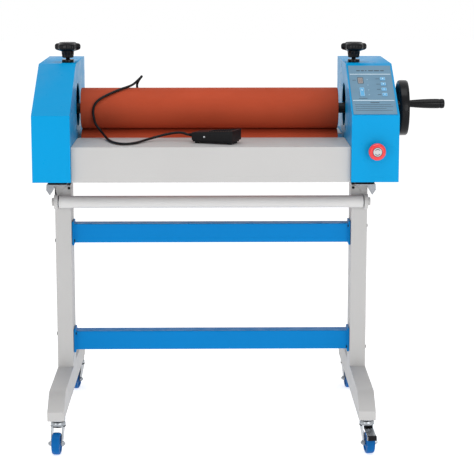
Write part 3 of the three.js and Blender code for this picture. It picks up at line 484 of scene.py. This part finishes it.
for side, name in ((-1, "left"), (1, "right")):
    for bar, z in (("upper", 474.0), ("lower", 201.0)):
        for n, (y, dz) in enumerate(((-2, 18 * side * (1 if bar == "upper" else -1)),
                                     (32, -18 * side * (1 if bar == "upper" else -1)))):
            pan_head(f"bar_bolt_{bar}_{name}_{n}", at(side * COLUMN_OUTER, y, z + dz), (side, 0, 0), 5.2, 3.4)
            pan_head(f"bar_nut_{bar}_{name}_{n}", at(side * 340.7, y if n else -6, z + dz), (-side, 0, 0), 3.4, 2.2,
                     BLACK)
    pan_head(f"bracket_bolt_{name}", at(side * 349.5, -28, 591), (0, -1, 0), 3.4, 2.2)
    lathe(f"bar_end_washer_{name}", [(6.6, 0), (11, 0), (11, 1.3), (6.6, 1.3)], at(side * 372.6, BAR_Y, BAR_Z),
          (side, 0, 0), ZINC, "machine", 48)
    outer = OUTER_LEFT if side < 0 else OUTER_RIGHT
    for n, (y, z) in enumerate(((-215, 652), (-20, 652), (190, 652), (190, 870), (-20, 870))):
        if not (side > 0 and n == 4):
            pan_head(f"cover_screw_{name}_{n}", at(side * outer, y, z), (side, 0, 0), 4.2, 2.0, ZINC)
    REAR = Matrix(((-1, 0, 0), (0, 0, 1), (0, 1, 0))).transposed()
    # Seven vent slots on each rear face, drawn as thin black patches: painted shade where the openings are.
    for n in range(7):
        slab(f"vent_{name}_{n}", rounded(52, 3.2, 1.5), at(side * 372, CASING_REAR, 785 + 9 * n), REAR, -0.4, 0.15,
             RUBBER, "machine")

for side, name in ((-1, "left"), (1, "right")):
    wall = frame_of((-side, 0, 0), (0, 0, 1))
    slab(f"nip_plate_{name}", rounded(18, 12, 1.5), at(side * 325.9, -53, 743), wall, 0, 1.4, ZINC, "machine",
         edge=0.3)
    slab(f"nip_arm_{name}", rounded(9, 12, 1.5), at(side * 320.6, -61.2, 743), frame_of((0, -1, 0), (0, 0, 1)), 0,
         1.4, ZINC, "machine", edge=0.3)
    pan_head(f"nip_screw_{name}", at(side * 324.6, -50, 743), (-side, 0, 0), 2.6, 1.4, ZINC)

# ------------------------------------------------------------------ control panel print
RAKE = math.atan2(CASING_TOP - CASING_BEND, SLOPE_BACK - CASING_FRONT)
SLOPE = Matrix(((1, 0, 0), (0, math.cos(RAKE), math.sin(RAKE)), (0, -math.sin(RAKE), math.cos(RAKE)))).transposed()
PANEL_AT = at(0, CASING_FRONT, CASING_BEND)
prints = 0


def printed(u, v, w, h, mat, body="machine", low=1.5, high=1.62, r=0.5):
    global prints
    prints += 1
    return slab(f"panel_print_{prints}", shifted(rounded(w, h, min(r, w / 2.01, h / 2.01), 3), u, v), PANEL_AT,
                SLOPE, low, high, mat, body)


printed(380.7, 174.5, 97, 2.2, WHITE_INK)
printed(380.7, 61.3, 97, 2.2, WHITE_INK)
for u, w in ((353, 9), (363.5, 8), (371.5, 4), (383, 12), (397.5, 13), (410.5, 9)):
    printed(u, 190, w, 4.6, DARK_INK, r=1.6)
printed(355.6, 147, 14.6, 29, DARK_INK, r=3.4)
printed(355.6, 146.4, 11.4, 25, DISPLAY, low=1.6, high=1.72, r=2.8)
for du, dv, w, h in ((0, 7.4, 4.2, 1.1), (0, 0, 4.2, 1.1), (0, -7.4, 4.2, 1.1), (-2.7, 3.7, 1.1, 5.4),
                     (2.7, 3.7, 1.1, 5.4), (-2.7, -3.7, 1.1, 5.4), (2.7, -3.7, 1.1, 5.4)):
    printed(355.6 + du, 146.4 + dv, w, h, GLOW, low=1.7, high=1.78, r=0.5)
printed(341, 148, 9, 2, DARK_INK)
printed(357, 70, 20, 2.2, DARK_INK)
for v in (151, 127, 106, 85):
    printed(372, v, 3, 2.4, KEY_EDGE, r=1.1)
for name, v in (("key_forward", 154), ("key_reverse", 131), ("key_faster", 108.5), ("key_slower", 86)):
    printed(396.2, v, 8.4, 2.2, DARK_INK)
    body = name + "_body"
    printed(409, v, 12, 12, KEY_EDGE, body, 2.38, 2.46, r=2.2)
    printed(409, v, 9.8, 9.8, KEY, body, 2.42, 2.52, r=1.8)
    if name in ("key_forward", "key_reverse"):
        printed(409, v, 3.6, 3.6, WHITE_INK, body, 2.5, 2.6, r=1.7)
    else:
        rise = 1 if name == "key_faster" else -1
        slab(f"arrow_{name}", [(406.8, v - 1.7 * rise), (411.2, v - 1.7 * rise), (409, v + 2.1 * rise)][::rise],
             PANEL_AT, SLOPE, 2.5, 2.6, WHITE_INK, body)
printed(356.5, 97.5, 11, 35.4, KEY_EDGE, "key_run_body", 2.38, 2.46, r=2.2)
printed(356.5, 97.5, 8.8, 33.2, KEY, "key_run_body", 2.42, 2.52, r=1.8)
printed(356.5, 105, 1.4, 8, WHITE_INK, "key_run_body", 2.5, 2.6)
printed(383, 52, 21, 3.2, DARK_INK)
for n, (u, w) in enumerate(((378, 84), (380, 88), (372, 72), (379, 86))):
    printed(u, 43.5 - 8 * n, w, 1.5, DARK_INK)

# ------------------------------------------------------------------ finishes on the CAD nodes
FINISH = {"casing_left": (CASING, 1.6), "casing_right": (CASING, 1.6), "crossbar_upper": (CROSSBAR, 1.6),
          "crossbar_lower": (CROSSBAR, 1.6), "leg_left": (GREY, 1.8), "leg_right": (GREY, 1.8),
          "front_bed": (GREY, 1.0), "rear_bed": (GREY, 1.0), "media_bar": (PALE_GREY_PAINTED_LIGHT, 0.8),
          "top_roller_core": (BLACKED, 0.6), "lower_roller_core": (BLACKED, 0.6), "control_panel": (FILM, 0.4),
          "estop_base": (BLACK, 0.5), "pedal_base": (BLACK, 1.0), "pedal_treadle": (BLACK, 1.1),
          "mains_inlet": (BLACK, 0.5), "pedal_socket": (BLACK, 0.4), "gearmotor": (MOTOR, 1.5),
          "control_unit": (MOTOR, 0.8), "rubber_pad_left": (RUBBER, 1.5), "rubber_pad_right": (RUBBER, 1.5),
          "screw_collar_left": (SATIN, 0.7), "screw_collar_right": (SATIN, 0.7),
          "stand_plate_left": (STEEL, 0.5), "stand_plate_right": (STEEL, 0.5)}
BY_SLOT = {"zinc": ZINC, "frame_steel": STEEL, "roller_steel": BRIGHT, "black_plastic": BLACK, "key_film": KEY,
           "pad_rubber": RUBBER, "cord_pvc": CORD, "silicone": SILICONE, "wheel_blue": WHEEL, "estop_red": RED,
           "motor_black": MOTOR, "panel_film": FILM, "casing_blue": CASING, "crossbar_blue": CROSSBAR,
           "stand_grey": GREY}
slots = {part["node"]: part["material_slot"] for part in frame["record"]["subparts"]}
for name, obj in NODES.items():
    finish, edge = FINISH.get(name, (BY_SLOT[slots[name]], 0.5))
    for place in obj.material_slots:
        place.material = finish
    if not obj.material_slots:
        obj.data.materials.append(finish)
    if obj.hide_render:
        continue
    for polygon in obj.data.polygons:
        polygon.use_smooth = True
    soften(obj, edge, 2 if edge < 1 else 3, weld=True)

# ------------------------------------------------------------------ floor, world and light
AMBIENT = 0.55
floor_mesh = bpy.data.meshes.new("floor")
floor_mesh.from_pydata([(-12, -8, 0), (12, -8, 0), (12, 16, 0), (-12, 16, 0)], [], [(0, 1, 2, 3)])
floor = bpy.data.objects.new("floor", floor_mesh)
bpy.context.scene.collection.objects.link(floor)
floor_white = material("floor_white", (0.85, 0.85, 0.85), 0.9, specular=0.1, tint=0.004, grain=0.0, rough_spread=0.0)
for node in floor_white.node_tree.nodes:
    if node.type == "BSDF_PRINCIPLED":
        node.inputs["Emission Color"].default_value = (1, 1, 1, 1)
        node.inputs["Emission Strength"].default_value = 0.6
floor_mesh.materials.append(floor_white)

# The studio: pure white behind the machine and in its reflections, with a dimmer surround as its light.
world = bpy.data.worlds.new("studio")
world.use_nodes = True
studio = world.node_tree
near = studio.nodes["Background"]
near.inputs["Color"].default_value = (1, 1, 1, 1)
near.inputs["Strength"].default_value = AMBIENT
far = studio.nodes.new("ShaderNodeBackground")
far.inputs["Color"].default_value = (1, 1, 1, 1)
far.inputs["Strength"].default_value = 1.0
seen = studio.nodes.new("ShaderNodeLightPath")
either = studio.nodes.new("ShaderNodeMath")
either.operation = "MAXIMUM"
studio.links.new(seen.outputs["Is Camera Ray"], either.inputs[0])
studio.links.new(seen.outputs["Is Glossy Ray"], either.inputs[1])
choose = studio.nodes.new("ShaderNodeMixShader")
studio.links.new(either.outputs["Value"], choose.inputs[0])
studio.links.new(near.outputs["Background"], choose.inputs[1])
studio.links.new(far.outputs["Background"], choose.inputs[2])
studio.links.new(choose.outputs["Shader"], studio.nodes["World Output"].inputs["Surface"])
bpy.context.scene.world = world
bpy.context.scene.view_settings.view_transform = "Standard"


def softbox(name, place, target, width, height, power):
    lamp = bpy.data.lights.new(name, "AREA")
    lamp.shape = "RECTANGLE"
    lamp.size = width
    lamp.size_y = height
    lamp.energy = power
    obj = bpy.data.objects.new(name, lamp)
    bpy.context.scene.collection.objects.link(obj)
    obj.location = place
    obj.rotation_euler = (Vector(target) - Vector(place)).to_track_quat("-Z", "Y").to_euler()
    return obj


softbox("key", (1.5, -3.2, 1.15), (0, 0, 0.6), 1.8, 1.4, 28)
softbox("fill", (-2.2, -3.0, 1.2), (0, 0, 0.6), 1.4, 1.8, 18)
softbox("top", (0, -0.7, 3.1), (0, 0, 0.5), 2.4, 1.4, 27)

bpy.context.view_layer.update()
